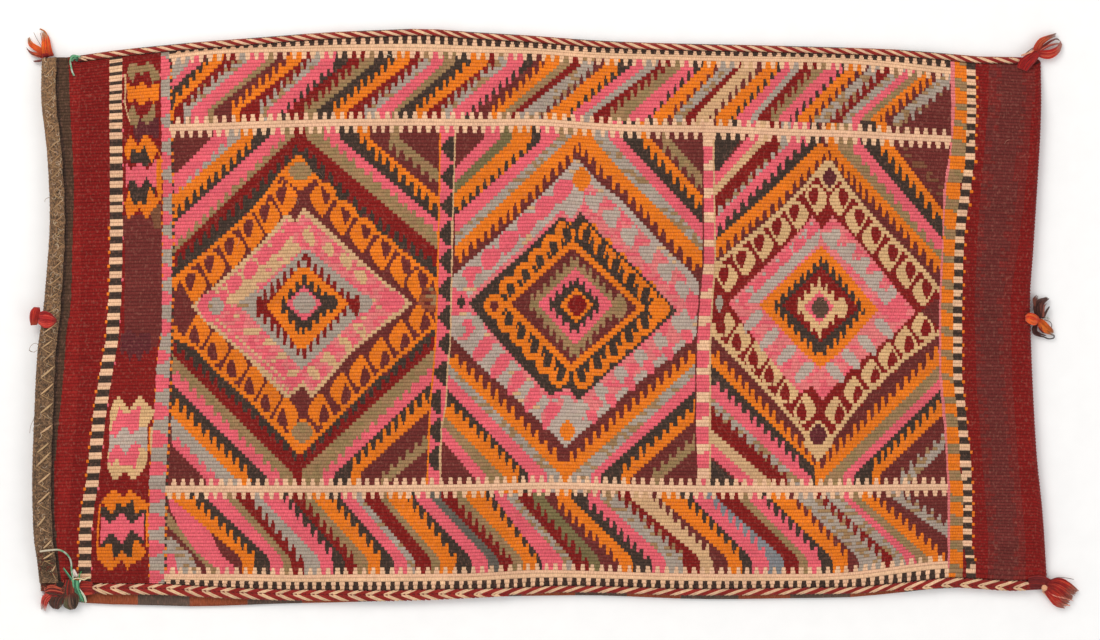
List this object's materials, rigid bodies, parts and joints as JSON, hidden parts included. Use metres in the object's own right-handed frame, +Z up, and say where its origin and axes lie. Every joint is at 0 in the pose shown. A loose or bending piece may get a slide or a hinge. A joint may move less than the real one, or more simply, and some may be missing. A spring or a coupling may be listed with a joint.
{
  "type": "woven wool storage sack",
  "caption": "Flat-woven wool sack with an open hemmed mouth, braided side seams, kilim bands and diamonds, and wool tassels; holds hay, grain or bedding.",
  "frame": {"origin": "on the floor plane, below the middle of the whole lying sack with its tassels", "axes": "+X from the open mouth to the bottom fold, +Y across to the upper long side, +Z up, through the two panels"},
  "size_m": [1.1529, 0.6386, 0.0266],
  "materials": {
    "kilim_wool": "matte flat-woven wool with bands and diamonds in red, orange, pink, grey, tan, cream and black-brown",
    "braid_wool": "matte plaited wool in madder red and cream",
    "hem_thread": "matte tan wool thread",
    "tassel_orange": "matte loose orange wool yarn",
    "tassel_red": "matte loose red wool yarn",
    "tie_green": "matte green thread, frayed to white"
  },
  "bodies": {
    "root": {"front_panel": "kilim_wool", "back_panel": "kilim_wool", "upper_seam_braid": "braid_wool", "lower_seam_braid": "braid_wool", "front_hem_stitching": "hem_thread", "back_hem_stitching": "hem_thread", "mouth_corner_tassel": "tassel_orange", "mouth_middle_tuft": "tassel_red", "braid_frayed_end": "tassel_red", "bottom_upper_tassel": "tassel_red", "bottom_middle_tassel": "tassel_orange", "bottom_lower_tassel": "tassel_red", "upper_tie_thread": "tie_green", "lower_tie_thread": "tie_green"}
  },
  "joints": []
}
